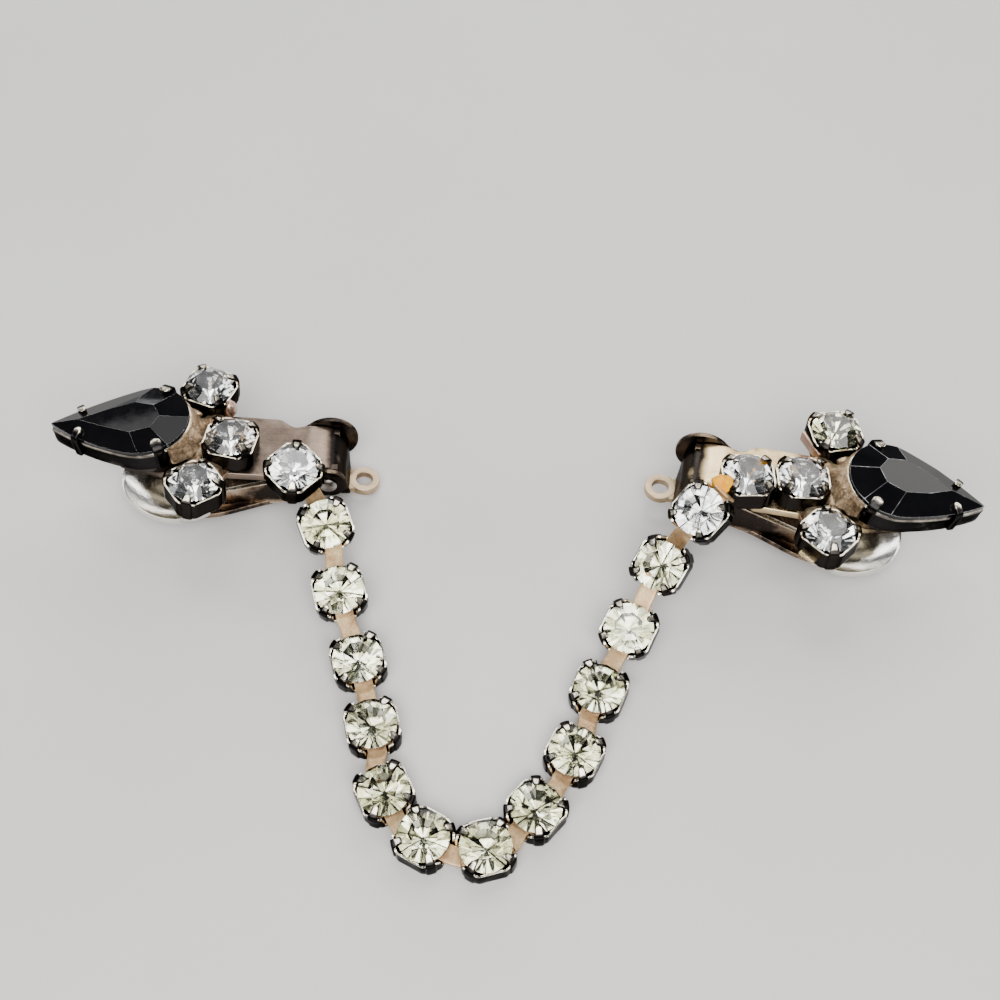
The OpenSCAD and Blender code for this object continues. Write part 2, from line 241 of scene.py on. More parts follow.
def strip(path, r, cells, wear_and_light=0.5):
    """A sheet strip. path: (point, up, side, w0, w1, t), the point on its upper face."""
    rings = []
    for p, up, side, w0, w1, t in path:
        rings.append([p + side * across + up * below for across, below in section(w0, w1, t, r, cells)])
    return loft(rings, wear_and_light=wear_and_light)


def turned(profile, n):
    """The rings of a profile of (r, z) points turned about z."""
    return [[(*polar(r, 360 * i / n), z) for i in range(n)] for r, z in profile]


def blob(middle, size, seed, lumps, wear_and_light=0.75):
    """A lump: an ellipsoid with given half sizes, which vary by lumps."""
    around, rows = 22, 13
    rings = []
    for j in range(rows + 1):
        a = math.pi * (0.03 + 0.94 * j / rows)
        ring = []
        for i in range(around):
            b = 2 * math.pi * i / around
            d = Vector((math.sin(a) * math.cos(b), math.sin(a) * math.sin(b), -math.cos(a)))
            swell = 1 + lumps * noise.noise(d * 1.6 + Vector((seed * 3.7, seed, 0)))
            ring.append([middle[k] + d[k] * size[k] * swell for k in range(3)])
        rings.append(ring)
    return loft(rings, wear_and_light=wear_and_light)


def new_object(name, data):
    ob = bpy.data.objects.new(name, data)
    bpy.context.scene.collection.objects.link(ob)
    return ob


def make(name, shape, materials, node, body=ROOT, m=Matrix(), flat=False, angle=38):
    """Turn a shape, placed by m, into a Blender object in metres that stands for a node of the CAD.

    Edges that bend by more than angle are drawn sharp.
    """
    mesh = bpy.data.meshes.new(name)
    mirrored = m.determinant() < 0
    mesh.from_pydata([(m @ p) * MM for p in shape.points], [],
                     [face[::-1] if mirrored else face for face in shape.faces])
    mesh.polygons.foreach_set("material_index", shape.materials)
    mesh.attributes.new("wear_and_light", "FLOAT", "POINT").data.foreach_set("value", shape.wear_and_light)
    for material in materials:
        mesh.materials.append(material)
    if flat:
        mesh.shade_flat()
    else:
        mesh.shade_smooth()
        mesh.set_sharp_from_angle(angle=rad(angle))
    mesh.validate()
    mesh.update()
    ob = new_object(name, mesh)
    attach(ob, body)
    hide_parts(node)


# Materials

class Nodes:
    """A new material and its node tree."""

    def __init__(self, name):
        self.material = bpy.data.materials.new(name)
        self.material.use_nodes = True
        self.tree = self.material.node_tree
        self.tree.nodes.clear()
        self.out = self.tree.nodes.new("ShaderNodeOutputMaterial")
        self.place = self.tree.nodes.new("ShaderNodeTexCoord").outputs["Object"]

    def feed(self, socket, value):
        if isinstance(value, bpy.types.NodeSocket):
            self.tree.links.new(value, socket)
        else:
            socket.default_value = value

    def node(self, kind, inputs=None, **props):
        n = self.tree.nodes.new(kind)
        for key, value in props.items():
            setattr(n, key, value)
        for key, value in (inputs or {}).items():
            self.feed(n.inputs[key], value)
        return n

    def noise(self, per_mm, detail=4, rough=0.55, stretch=None):
        place = self.place
        if stretch:
            place = self.node("ShaderNodeMapping", {"Vector": place, "Scale": stretch}).outputs[0]
        return self.node("ShaderNodeTexNoise", {"Vector": place, "Scale": per_mm * 1000, "Detail": detail,
                                                "Roughness": rough}).outputs["Fac"]

    def ramp(self, value, stops):
        """Grey levels or colours at given places along a value."""
        n = self.node("ShaderNodeValToRGB", {"Fac": value})
        elements = n.color_ramp.elements
        while len(elements) < len(stops):
            elements.new(0.5)
        for element, (position, c) in zip(elements, stops):
            element.position = position
            element.color = (c, c, c, 1) if isinstance(c, (int, float)) else (*c, 1)
        return n.outputs["Color"]

    def math(self, operation, a, b):
        return self.node("ShaderNodeMath", {0: a, 1: b}, operation=operation).outputs[0]

    def vary(self, value, noise_value, amount):
        """Add the noise to a value, weighted by amount."""
        centred = self.math("SUBTRACT", noise_value, 0.5)
        return self.math("ADD", value, self.math("MULTIPLY", centred, amount))

    def blend(self, factor, a, b, mode="MIX"):
        n = self.node("ShaderNodeMix", data_type="RGBA", blend_type=mode)
        self.feed(n.inputs[0], factor)
        for key, colour in ((6, a), (7, b)):
            self.feed(n.inputs[key], (*colour, 1) if isinstance(colour, tuple) else colour)
        return n.outputs[2]

    def bump(self, height, strength, mm, normal=None):
        inputs = {"Height": height, "Strength": strength, "Distance": mm * MM}
        if normal is not None:
            inputs["Normal"] = normal
        return self.node("ShaderNodeBump", inputs).outputs[0]

    def wear_and_light(self):
        return self.node("ShaderNodeAttribute", attribute_name="wear_and_light").outputs["Fac"]

    def shader(self, colour, roughness, bump, others=None):
        inputs = {"Base Color": colour, "Roughness": roughness, "Normal": bump, **(others or {})}
        surface = self.node("ShaderNodeBsdfPrincipled", inputs)
        self.tree.links.new(surface.outputs[0], self.out.inputs[0])
        return self.material


def metal(name, bright, dull, dark, rough, stretch=(1, 1, 1), bare=1.0, grain=0.25, lumps=0.0):
    """Worn plate: bright on edges and high spots, dull in between, dark where the value of rubbing and
    painted light is low.

    rough is its least and greatest roughness, and stretch scales the brushed marks, which run along the axis
    with the low value. bare is how far the open metal shows: below 1 it is clouded by a dull film. grain is
    how much the wear changes from spot to spot, and lumps the height of its waves.
    """
    n = Nodes(name)
    patches = n.noise(0.45, 5, 0.6)
    fine = n.noise(3.5, 3, 0.6)
    brushed = n.noise(1.6, 4, 0.6, stretch)
    pits = n.noise(9.0, 2, 0.5)
    wear_and_light = n.vary(n.vary(n.wear_and_light(), patches, 0.9), fine, grain)
    colour = n.ramp(wear_and_light, [(0.0, dark), (0.22, dark), (0.55, dull), (0.85, bright)])
    colour = n.blend(1.0, colour, n.ramp(brushed, [(0.3, 0.78), (0.7, 1.0)]), "MULTIPLY")
    colour = n.blend(1.0, colour, n.ramp(pits, [(0.27, 0.5), (0.36, 1.0)]), "MULTIPLY")
    cloud = n.math("ADD", n.math("MULTIPLY", patches, 0.6), n.math("MULTIPLY", brushed, 0.4))
    roughness = n.node("ShaderNodeMapRange", {"Value": cloud, "From Min": 0.3, "From Max": 0.7,
                                              "To Min": rough[0], "To Max": rough[1]}).outputs[0]
    bump = n.bump(brushed, 0.35, 0.02)
    bump = n.bump(n.noise(1.1, 3, 0.5), 0.35, 0.06, bump)
    bump = n.bump(pits, 0.25, 0.015, bump)
    if lumps:
        bump = n.bump(n.noise(1.5, 3, 0.6), 0.9, lumps, bump)
    film = n.ramp(wear_and_light, [(0.2, 1.0), (0.45, bare)])
    glint = n.ramp(wear_and_light, [(0.2, 0.4), (0.5, 1.0)])
    return n.shader(colour, roughness, bump, {"Metallic": film, "Specular Tint": glint})


def crystal(name, tint):
    n = Nodes(name)
    lighter = tuple(min(1, c * 1.04) for c in tint)
    colour = n.blend(n.noise(0.35, 2), tint, lighter)
    roughness = n.ramp(n.noise(0.9, 4, 0.6), [(0.4, 0.012), (0.75, 0.06)])
    bump = n.bump(n.noise(0.6, 2), 0.03, 0.02)
    return n.shader(colour, roughness, bump, {"IOR": 1.56, "Transmission Weight": 1.0})


def foil(name, light, dark):
    n = Nodes(name)
    colour = n.ramp(n.noise(0.55, 4, 0.6), [(0.36, dark), (0.56, light), (1.0, light)])
    bump = n.bump(n.noise(1.0, 2), 0.10, 0.03)
    roughness = n.ramp(n.noise(2.5, 3), [(0.3, 0.04), (0.7, 0.12)])
    return n.shader(colour, roughness, bump, {"Metallic": 1.0})


def jet(name):
    """Black glass."""
    n = Nodes(name)
    colour = n.ramp(n.noise(0.5, 3), [(0.3, (0.0015, 0.0015, 0.002)), (0.8, (0.004, 0.004, 0.005))])
    roughness = n.ramp(n.noise(1.5, 5, 0.7), [(0.35, 0.02), (0.8, 0.08)])
    bump = n.bump(n.noise(0.35, 2), 0.06, 0.05)
    bump = n.bump(n.noise(6.0, 2), 0.03, 0.01, bump)
    return n.shader(colour, roughness, bump, {"IOR": 1.5, "Specular IOR Level": 0.26})


def jet_edge(name, worn_and_lit):
    """The softened edges of the black glass, grey partly from rubbing and partly as a painted highlight
    along them. A lower threshold, the second argument, shows more of their grey.
    """
    n = Nodes(name)
    colour = n.ramp(n.noise(0.5, 4, 0.7), [(worn_and_lit, 0.05), (worn_and_lit + 0.22, 0.62)])
    roughness = n.ramp(n.noise(3.0, 3), [(0.3, 0.15), (0.7, 0.35)])
    bump = n.bump(n.noise(4.0, 3), 0.2, 0.01)
    return n.shader(colour, roughness, bump, {"IOR": 1.7})


def orange_lump(name):
    n = Nodes(name)
    colour = n.ramp(n.noise(0.9, 4, 0.6), [(0.35, (0.80, 0.26, 0.0)), (0.6, (1.0, 0.47, 0.0))])
    bump = n.bump(n.noise(1.6, 4), 0.5, 0.12)
    roughness = n.ramp(n.noise(2.5, 3), [(0.3, 0.3), (0.7, 0.55)])
    return n.shader(colour, roughness, bump, {"Specular IOR Level": 0.25})


def pale_floor(name):
    n = Nodes(name)
    colour = n.ramp(n.noise(0.02, 3), [(0.3, (0.62, 0.61, 0.60)), (0.7, (0.66, 0.65, 0.64))])
    bump = n.bump(n.noise(1.2, 4), 0.15, 0.05)
    return n.shader(colour, 0.75, bump)


METALS = {
    # the left plate: its own pinkish taupe plating, darkened further as painted shade for its dark
    # reflections
    "plate_left": dict(bright=(0.25, 0.19, 0.15), dull=(0.13, 0.097, 0.077), dark=(0.03, 0.025, 0.022),
                       rough=(0.2, 0.45), stretch=(0.15, 1.6, 1.0)),
    "plate_right": dict(bright=(0.86, 0.67, 0.38), dull=(0.50, 0.365, 0.20), dark=(0.045, 0.038, 0.032),
                        rough=(0.16, 0.4), stretch=(0.15, 1.6, 1.0)),
    "tab": dict(bright=(0.58, 0.44, 0.28), dull=(0.44, 0.31, 0.19), dark=(0.18, 0.11, 0.07),
                rough=(0.26, 0.5), bare=0.85, grain=0.5),
    "lever": dict(bright=(0.92, 0.80, 0.62), dull=(0.40, 0.29, 0.20), dark=(0.035, 0.028, 0.025),
                  rough=(0.12, 0.36), stretch=(1.6, 0.15, 1.0)),
    "spoon": dict(bright=(0.95, 0.93, 0.88), dull=(0.74, 0.71, 0.64), dark=(0.10, 0.085, 0.06),
                  rough=(0.08, 0.24), stretch=(1.2, 0.5, 1.0)),
    "setting": dict(bright=(0.96, 0.88, 0.70), dull=(0.34, 0.28, 0.22), dark=(0.026, 0.023, 0.021),
                    rough=(0.12, 0.30)),
    "chain_setting": dict(bright=(0.96, 0.90, 0.74), dull=(0.26, 0.22, 0.18), dark=(0.024, 0.022, 0.021),
                          rough=(0.12, 0.30)),
    "pear_setting": dict(bright=(0.96, 0.88, 0.70), dull=(0.20, 0.18, 0.16), dark=(0.022, 0.021, 0.021),
                         rough=(0.14, 0.30)),
    "strap": dict(bright=(0.92, 0.72, 0.41), dull=(0.62, 0.39, 0.20), dark=(0.20, 0.11, 0.06),
                  rough=(0.26, 0.5), stretch=(1.0, 0.25, 1.0), bare=0.6, grain=0.5),
    "solder": dict(bright=(0.96, 0.80, 0.54), dull=(0.62, 0.43, 0.26), dark=(0.13, 0.07, 0.04),
                   rough=(0.22, 0.5), bare=0.8, grain=1.0, lumps=0.15),
    "copper": dict(bright=(0.80, 0.56, 0.44), dull=(0.52, 0.32, 0.24), dark=(0.12, 0.06, 0.04),
                   rough=(0.2, 0.45), stretch=(1.5, 0.2, 1.0)),
    "pin": dict(bright=(0.72, 0.69, 0.66), dull=(0.42, 0.38, 0.34), dark=(0.06, 0.05, 0.045),
                rough=(0.25, 0.5)),
    "spring": dict(bright=(0.88, 0.70, 0.42), dull=(0.62, 0.46, 0.25), dark=(0.12, 0.08, 0.04),
                   rough=(0.18, 0.4)),
}
M = {name: metal(name, **look) for name, look in METALS.items()}
M["crystal"] = crystal("crystal", (0.99, 0.99, 0.985))
M["tinted"] = crystal("tinted", (0.975, 0.975, 0.905))
M["foil"] = foil("foil", (0.97, 0.97, 0.96), (0.55, 0.56, 0.56))
M["foil_aged"] = foil("foil_aged", (0.66, 0.67, 0.67), (0.34, 0.34, 0.34))
M["foil_warm"] = foil("foil_warm", (0.94, 0.94, 0.85), (0.62, 0.62, 0.46))
M["foil_warm_aged"] = foil("foil_warm_aged", (0.50, 0.50, 0.38), (0.26, 0.26, 0.19))
M["jet"] = jet("jet")
M["lump"] = orange_lump("orange_lump")
M["left_jet_edge"] = jet_edge("left_jet_edge", 0.36)
M["right_jet_edge"] = jet_edge("right_jet_edge", 0.50)

# the materials of a round stone: its glass, its foil and the foil's aged patches
CLEAR = [M["crystal"], M["foil"], M["foil_aged"]]
WARM = [M["tinted"], M["foil_warm"], M["foil_warm_aged"]]
PALE = [M["crystal"], M["foil_warm"], M["foil_warm_aged"]]


# Round settings and stones

WALL_Z = 2.0  # the top of a round setting's wall
SHEET = 0.22  # the thickness of its sheet
TO_SIDE, TO_CORNER = 2.43, 2.7  # from its middle to its flat sides and to its corners
CLAW = 3.45  # how far up the sheet the tips of its claws are
RISE, BEND, BENT = 2.14, 0.3, rad(60)  # where a claw begins to bend inward, the bend's radius and angle
HALF_CLAW, HALF_SLOT = 8.0, 23  # half the widths of a claw and of a strap's slot, as angles
SLOT_Z = 0.42  # the bottom of a slot
STONE_R, STONE_TABLE = 2.3, 1.34  # of a round stone's girdle and of its table, to their corners
GIRDLE_Z, GIRDLE = 2.08, 0.1  # the girdle's lower edge and its height
CULET_Z, CULET = 0.33, 0.16  # the blunt end of the back and its radius
AGED = 0.3  # the share of the back's facets with aged foil

# one column of points up a setting's sheet: where it stands, how many degrees it is off a claw's middle,
# the radius of its outer face, the length of sheet up to its upper edge, and 1 on a claw or 0 beside it
Column = namedtuple("Column", "angle off radius height claw")


def column(claw_at, off, reach, slots):
    angle = claw_at + off
    side = TO_SIDE / max(abs(math.cos(rad(angle))), abs(math.sin(rad(angle))))
    claw = 1 - smooth((abs(off) - HALF_CLAW) / 2.6)
    height = WALL_Z - 0.1 * smooth(1 - abs(abs(off) - 15) / 8)
    if slots:
        off_slot = abs((angle + 90) % 180 - 90)
        height = mix(height, SLOT_Z, 1 - smooth((off_slot - HALF_SLOT) / 3))
    tip = CLAW * reach - 0.2 * (off / 9) ** 2
    return Column(angle, off, min(side, TO_CORNER) + 0.14 * claw, mix(height, tip, claw), claw)


def on_floor(c, r, z):
    """The point of a column at the radius r of the setting's floor."""
    return (*polar(min(r, c.radius), c.angle), z)


def on_sheet(c, length, depth):
    """The point of a column at a length up the sheet, at a depth below its outer face."""
    bent = max(0.0, min(BENT, (length - RISE) / BEND))
    rest = max(0.0, length - RISE - BEND * BENT)
    r = c.radius - BEND * (1 - math.cos(bent)) - math.sin(bent) * rest - math.cos(bent) * depth
    z = min(length, RISE) + BEND * math.sin(bent) + math.cos(bent) * rest - math.sin(bent) * depth
    return (*polar(r, c.angle), z)


def outer_wear_and_highlight(c, part):
    """Dark patina on the wall; along the middle of a claw's bent top, bright metal, partly from rubbing and
    partly a painted highlight.
    """
    wear_and_light = -0.12 + 0.12 * part
    if c.claw > 0.9:
        # a painted highlight along the middle of the claw's bent top, on rubbed metal
        wear_and_light += 0.95 * smooth((part - 0.76) / 0.08) * (1 - smooth((abs(c.off) - 4.4) / 2.0))
    return wear_and_light


def rim_wear_and_highlight(c, wall):
    """The value of a wall's rim, bright from rubbing and from a painted highlight along it, or that of a
    claw's end, which is less: a painted highlight in its middle, dark patina at its sides.
    """
    if c.claw < 0.3:
        return wall
    return 0.55 if abs(c.off) < 5 else 0.05


def setting(slots, seed):
    """A round setting: floor, wall and four claws drawn as one folded sheet, with two slots or none."""
    rnd = random.Random(seed)
    half = (4.2, 8.2, 9.0, 9.8, 10.6, 11.8, 14, 16, 19, 22, 24.5, 28, 34, 40)
    spread = (-45,) + tuple(-off for off in half[::-1]) + (0,) + half
    columns = []
    for quarter in range(4):
        claw_at = 45 + 90 * quarter + rnd.uniform(-2.5, 2.5)
        reach = rnd.uniform(0.92, 1.05)
        columns += [column(claw_at, off, reach, slots) for off in spread]
    rings, wear_and_light = [], []

    def ring(point, rubbed_and_lit):
        rings.append([point(c) for c in columns])
        wear_and_light.extend(rubbed_and_lit(c) for c in columns)

    ring(lambda c: on_floor(c, 0.4, 0), lambda c: 0.2)
    ring(lambda c: on_floor(c, c.radius - 0.1, 0), lambda c: 0.25)
    ring(lambda c: on_sheet(c, 0.05, 0.03), lambda c: 0.45)
    for part in (0.06, 0.2, 0.36, 0.52, 0.62, 0.68, 0.73, 0.78, 0.83, 0.88, 0.93, 0.97):
        ring(lambda c: on_sheet(c, max(0.12, c.height * part), 0), lambda c: outer_wear_and_highlight(c, part))
    # the rim: bright from rubbing and from a painted highlight line along it
    ring(lambda c: on_sheet(c, c.height - 0.01, 0.03), lambda c: rim_wear_and_highlight(c, 0.95))
    ring(lambda c: on_sheet(c, c.height, SHEET / 2), lambda c: rim_wear_and_highlight(c, 1.0))
    ring(lambda c: on_sheet(c, c.height - 0.01, SHEET - 0.03), lambda c: rim_wear_and_highlight(c, 0.9))
    for part in (0.96, 0.88, 0.78, 0.6, 0.4):
        ring(lambda c: on_sheet(c, max(0.34, c.height * part), SHEET), lambda c: 0.25)
    ring(lambda c: on_floor(c, 2.05, 0.26), lambda c: 0.1)
    ring(lambda c: on_floor(c, 0.3, 0.26), lambda c: 0.1)
    return loft(rings, wear_and_light=wear_and_light).rough(0.03, 1.3, seed)


def seat(seed, most=2.2):
    """A small tilt of a stone in its setting, at most so many degrees each way."""
    rnd = random.Random(seed * 7 + 1)
    across, along = rnd.uniform(-most, most), rnd.uniform(-most, most)
    pivot = 2.1
    return move(0, 0, pivot) @ rot("X", across) @ rot("Y", along) @ move(0, 0, -pivot)


def brilliant(seed):
    """A cut round stone: table, bezels, girdle and a foiled back with eight main facets.

    Material 1 is the foil, and material 2 its aged patches.
    """
    turn = random.Random(seed).uniform(0, 45)
    rnd = random.Random(turn)

    def corners(n, radius, z, first=0.0):
        return [(*polar(radius, 360 / n * k + first + turn), z) for k in range(n)]

    points = corners(8, STONE_TABLE, TABLE_Z)
    points += corners(16, STONE_R, GIRDLE_Z + GIRDLE, -11.25) + corners(16, STONE_R, GIRDLE_Z, -11.25)
    points += corners(8, CULET, CULET_Z)
    front, back = [tuple(range(8))], [tuple(range(40, 48))]
    for k in range(8):
        j = (k + 1) % 8
        a, b, c = 8 + 2 * k, 9 + 2 * k, 8 + (2 * k + 2) % 16
        front += [(k, b, c, j), (k, a, b), (a, a + 16, b + 16, b), (b, b + 16, c + 16, c)]
        back += [(40 + k, 40 + j, c + 16, b + 16), (40 + k, b + 16, a + 16)]
    stone = Shape().add(points, front + back)
    stone.materials = [0] * len(front) + [1 if rnd.random() > AGED else 2 for _ in back]
    return outward(stone)


def outward(shape):
    """Turn every face of a closed convex shape outward."""
    middle = sum(shape.points, Vector()) / len(shape.points)
    for i, face in enumerate(shape.faces):
        a, b, c = (shape.points[k] for k in face[:3])
        if (b - a).cross(c - a).dot((a + b + c) / 3 - middle) < 0:
            shape.faces[i] = face[::-1]
    return shape


# Pear setting and stone, from the edge of the blunt end, with x to the tip and z = 0 just above the wall

PEAR_L, PEAR_R, PEAR_H = 13.1, 4.15, 2.1  # length, radius of the blunt end and how deep the wall goes
PEAR_AT = move(16.2, -0.65, 3.75) @ rot("Y", 10)
SIDE_R = 25.0  # the radius of the long sides, whose circles' middles are at SIDE_X and SIDE_Y to each side
SIDE_X = ((PEAR_R + PEAR_L) - (2 * PEAR_R * SIDE_R - PEAR_R ** 2) / (PEAR_L - PEAR_R)) / 2
SIDE_Y = math.sqrt(SIDE_R ** 2 - (SIDE_X - PEAR_L) ** 2)
PRONG_T = 0.34
STONE_IN = 0.1  # how far inside the setting's outline the stone's is
GIRDLE_LOW, GIRDLE_TOP, PEAR_TABLE, KEEL_Z = -0.12, 0.22, 0.9, -1.4  # heights of the pear stone


def side_y(x, d=0.0):
    return math.sqrt((SIDE_R - d) ** 2 - (x - SIDE_X) ** 2) - SIDE_Y


def pear_outline(d=0.0, side_steps=26, round_steps=20):
    """The outline drawn in by d, counter-clockwise from the tip, along the back side first."""
    tangent = math.degrees(math.atan2(SIDE_Y, PEAR_R - SIDE_X))
    tip = SIDE_X + math.sqrt((SIDE_R - d) ** 2 - SIDE_Y ** 2)
    meet = PEAR_R + (PEAR_R - d) * math.cos(rad(tangent))
    side = [(tip - 0.04, 0.0)]
    for i in range(1, side_steps):
        x = mix(tip, meet, i / side_steps)
        side.append((x, max(0.0, side_y(x, d))))
    round_end = arc(PEAR_R, 0, PEAR_R - d, tangent, 360 - tangent, round_steps)
    return side + round_end + [(x, -y) for x, y in side[:0:-1]]


def prong(width, lift, seed):
    """A claw of the pear setting in its own plane: x inward, z up. lift is how high it stands."""
    path = [(-0.2, -PEAR_H + 0.35), (-0.2, -1.2), (-0.21, -0.5), (-0.2, 0.0), (-0.16, 0.26), (-0.02, 0.46),
            (0.2, 0.2 + lift * 0.62), (0.46, 0.14 + lift * 0.85), (0.62, 0.14 + lift),
            (0.78, 0.13 + lift * 1.04), (0.86, 0.1 + lift * 1.05)]
    last = len(path) - 1
    rings, wear_and_light = [], []
    for i, (x, z) in enumerate(path):
        before, after = path[max(0, i - 1)], path[min(last, i + 1)]
        dx, dz = after[0] - before[0], after[1] - before[1]
        length = math.hypot(dx, dz)
        f = i / last
        half = width / 2 * (1.0 if f < 0.75 else mix(1.0, 0.45, ((f - 0.75) / 0.25) ** 1.6))
        thinner = 1.0 if f < 0.9 else 0.6
        ring = []
        for across, below in section(-half, half, PRONG_T, 0.12, 3):
            out = (below + PRONG_T / 2) * thinner / length
            ring.append((x - dz * out, across, z + dx * out))
        rings.append(ring)
        # a painted highlight on the claw's end, dark patina on its body
        wear_and_light.append(0.1 + 0.9 * smooth((f - 0.55) / 0.25))
    return loft(rings, wear_and_light=wear_and_light).rough(0.03, 0.8, seed)


def pear_setting(seed):
    """The pear's wall with its lip, the block of solder under its blunt end, and four claws."""
    rows = [(0.45, -PEAR_H), (0.12, -PEAR_H), (0.03, -PEAR_H + 0.06), (0.0, -PEAR_H + 0.2), (0.0, -1.4),
            (0.02, -0.9), (0.0, -0.5), (0.0, -0.36), (0.05, -0.2), (0.14, -0.15), (0.24, -0.2), (0.3, -0.36),
            (0.32, -0.9), (0.4, -1.7), (1.2, -1.72)]
    rings, wear_and_light = [], []
    for d, z in rows:
        line = pear_outline(d)
        rings.append([(x, y, z) for x, y in line])
        lip = 0.45 if -0.4 < z < -0.1 and d < 0.2 else 0.0
        # bright toward the blunt end: partly solder-covered metal, partly a painted reflection
        wear_and_light += [0.1 + 0.75 * smooth((3.0 - x) / 3.0) + lip for x, _ in line]
    shape = loft(rings, wear_and_light=wear_and_light)
    block = [p for p in pear_outline(1.3) if p[0] < 7.4]
    shape.join(slab(block, -PEAR_H - 1.85, -PEAR_H + 0.1, 0.15, wear_and_light=0.3))
    round_at, tip_at = 24, 10.4
    claws = ((PEAR_R - PEAR_R * math.sin(rad(round_at)), PEAR_R * math.cos(rad(round_at)), -66, 1.0, 0.62),
             (tip_at, side_y(tip_at), -120, 0.72, 0.6))
    for side in (-1, 1):
        for x, y, turn, width, lift in claws:
            shape.join(prong(width, lift, seed), move(x, side * y, 0) @ rot("Z", side * turn))
            seed += 1
    return shape


def pear_cuts(skew, tip):
    """The planes that cut the table and the eight facets round it, each as a point and a normal upward."""
    half = [(2.65, 0), (3.4, 1.35), (5.2, 1.85), (7.4, 1.15), (tip, 0)]
    leaf = [(x, -y) for x, y in half] + half[-2:0:-1]
    leaf = [Vector((x, y + skew * mix(1.15, 0.5, (x - 3) / 7), PEAR_TABLE)) for x, y in leaf]
    feet = [(0.83, 2.32), (3.4, 3.98), (6.4, side_y(6.4, STONE_IN)), (10.6, side_y(10.6, STONE_IN))]
    feet = [(x, -y) for x, y in feet] + feet[::-1]
    cuts = [(Vector((5, 0, PEAR_TABLE)), Vector((0, 0, 1)))]
    for i, foot in enumerate(feet):
        a, b = leaf[i], leaf[(i + 1) % len(leaf)]
        normal = (b - a).cross(Vector((*foot, GIRDLE_TOP)) - a).normalized()
        cuts.append((a, normal if normal.z > 0 else -normal))
    return cuts


def close_below(bm):
    """The foiled back, closed below the girdle."""
    floor = [f for f in bm.faces if f.normal.z < -0.9]
    keel = bmesh.ops.extrude_face_region(bm, geom=floor)["geom"]
    for v in [g for g in keel if isinstance(g, bmesh.types.BMVert)]:
        v.co = Vector((mix(5.2, v.co.x, 0.45), v.co.y * 0.4, KEEL_Z))
    inside = [f for f in bm.faces
              if f.normal.z < -0.95 and abs(f.calc_center_median().z - GIRDLE_LOW) < 0.02]
    bmesh.ops.delete(bm, geom=inside, context="FACES")
    bm.normal_update()


def from_lowest(ids):
    """The same loop of points, from its lowest number on."""
    k = ids.index(min(ids))
    return ids[k:] + ids[:k]


def sorted_shape(bm):
    """The mesh as a shape. The cuts leave the points in a different order each time, so they are sorted."""
    points = sorted(bm.verts, key=lambda v: [round(c, 4) for c in v.co])
    number = {v: i for i, v in enumerate(points)}
    faces = sorted((from_lowest([number[v] for v in f.verts]), f.material_index) for f in bm.faces)
    shape = Shape().add([v.co.copy() for v in points], [ids for ids, _ in faces])
    shape.materials = [material for _, material in faces]
    return shape


def pear_stone(skew, tip, soft):
    """A black pear: a leaf-shaped table with broad flat facets round it, every edge softened.

    skew moves the leaf toward the back of the stone, most at its round end. tip is where the leaf ends,
    and soft is the width of a softened edge, which has material 1.
    """
    bm = bmesh.new()
    line = pear_outline(STONE_IN, side_steps=30, round_steps=40)
    low = [bm.verts.new((x, y, GIRDLE_LOW)) for x, y in line]
    top = [bm.verts.new((x, y, 1.6)) for x, y in line]
    n = len(line)
    bm.faces.new(low[::-1])
    bm.faces.new(top)
    for i in range(n):
        bm.faces.new((low[i], low[(i + 1) % n], top[(i + 1) % n], top[i]))
    for point, normal in pear_cuts(skew, tip):
        cut = bmesh.ops.bisect_plane(bm, geom=bm.verts[:] + bm.edges[:] + bm.faces[:], plane_co=point,
                                     plane_no=normal, clear_outer=True, dist=1e-5)["geom_cut"]
        bmesh.ops.contextual_create(bm, geom=[g for g in cut if isinstance(g, bmesh.types.BMEdge)])
    close_below(bm)
    edges = [e for e in bm.edges if len(e.link_faces) == 2 and e.calc_face_angle(0) > rad(8)
             and min(v.co.z for v in e.verts) > 0.1]
    bmesh.ops.bevel(bm, geom=edges, offset=soft, segments=2, profile=0.5, affect="EDGES", clamp_overlap=True,
                    material=1)
    bmesh.ops.recalc_face_normals(bm, faces=bm.faces)
    shape = sorted_shape(bm)
    bm.free()
    return shape


# Stamped plate and tab

ACROSS, UP = Vector((0, 1, 0)), Vector((0, 0, 1))
PLATE_FRONT, PLATE_BACK, PLATE_T = -3.8, 3.4, 0.8
NECK_FRONT, NECK_BACK, NECK_T = -2.2, 2.85, 0.5  # of the waist and the rolled end
NOSE_X, NOSE_SLOPE = 15.6, 10  # where the nose begins to slope down, and how much
WAIST_X = 6.9
ROLL_X, ROLL_R = 4.4, 2.7  # where the inboard end begins to roll down, and the roll's radius
TAB_R, EYE_R, TAB_LOW, TAB_TOP = 1.5, 0.8, -4.9, -4.2


